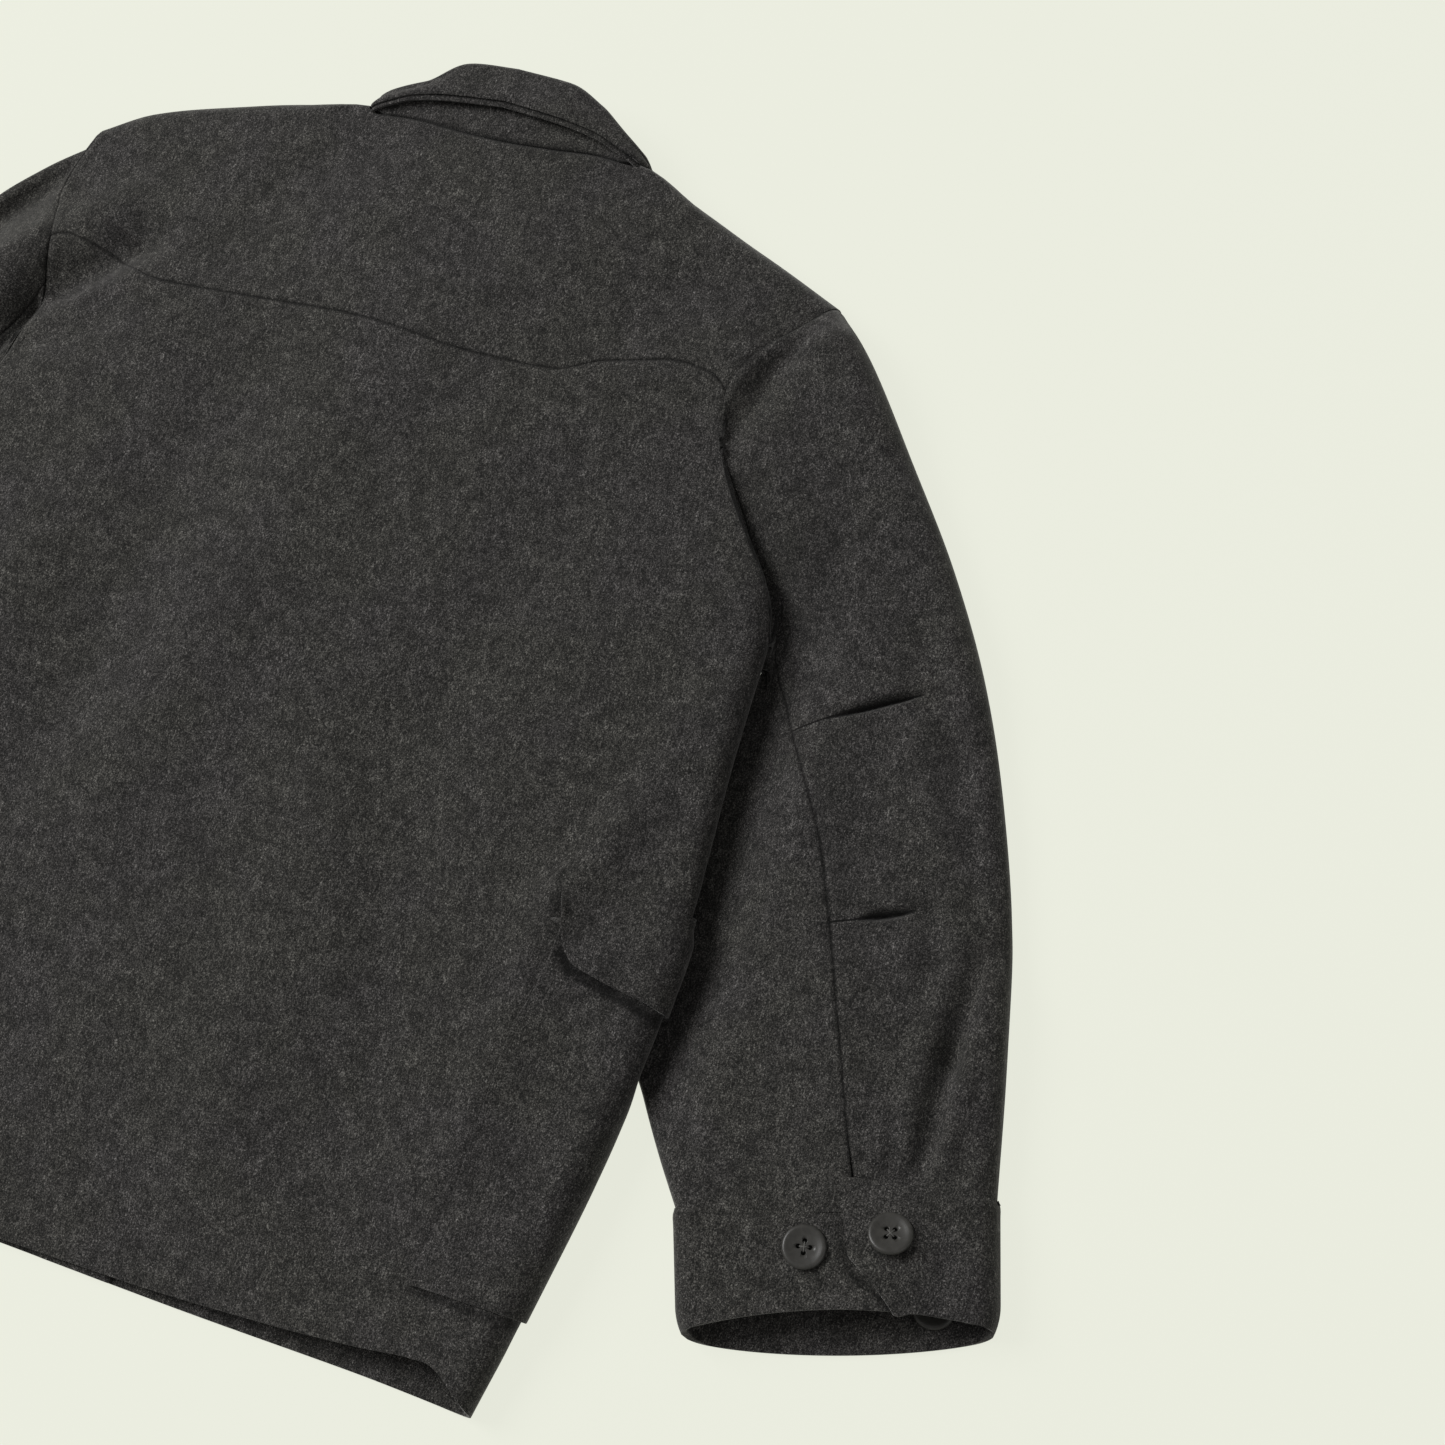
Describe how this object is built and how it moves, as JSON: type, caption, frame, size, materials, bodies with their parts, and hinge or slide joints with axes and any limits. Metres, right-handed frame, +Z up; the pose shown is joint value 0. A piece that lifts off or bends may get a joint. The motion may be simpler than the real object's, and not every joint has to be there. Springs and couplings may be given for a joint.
{
  "type": "jacket",
  "caption": "Boxy wool jacket laid flat on its front: back yoke, two-piece sleeves, turn-down collar, buttoned cuffs and wrap-around flap pockets.",
  "frame": {"origin": "on the table, under the middle of the laid jacket's box", "axes": "+Z up from the table, out of the jacket's back; +Y towards the collar; +X along the spread of the sleeves"},
  "size_m": [0.975, 0.743, 0.0439],
  "materials": {
    "wool": "napped melton wool, charcoal melange",
    "button": "dished four-hole button, horn look"
  },
  "bodies": {
    "root": {"back": "wool", "yoke": "wool", "front_right": "wool", "front_left": "wool", "sleeve_upper_right": "wool", "sleeve_under_right": "wool", "sleeve_upper_left": "wool", "sleeve_under_left": "wool", "cuff_right": "wool", "cuff_left": "wool", "collar_stand": "wool", "collar_fall": "wool", "pocket_right": "wool", "pocket_left": "wool", "flap_right": "wool", "flap_left": "wool", "cuff_button_under_right": "button", "cuff_button_over_right": "button", "cuff_button_inside_right": "button", "cuff_button_under_left": "button", "cuff_button_over_left": "button", "cuff_button_inside_left": "button", "front_button_1": "button", "front_button_2": "button", "front_button_3": "button", "front_button_4": "button", "front_button_5": "button"}
  },
  "joints": []
}
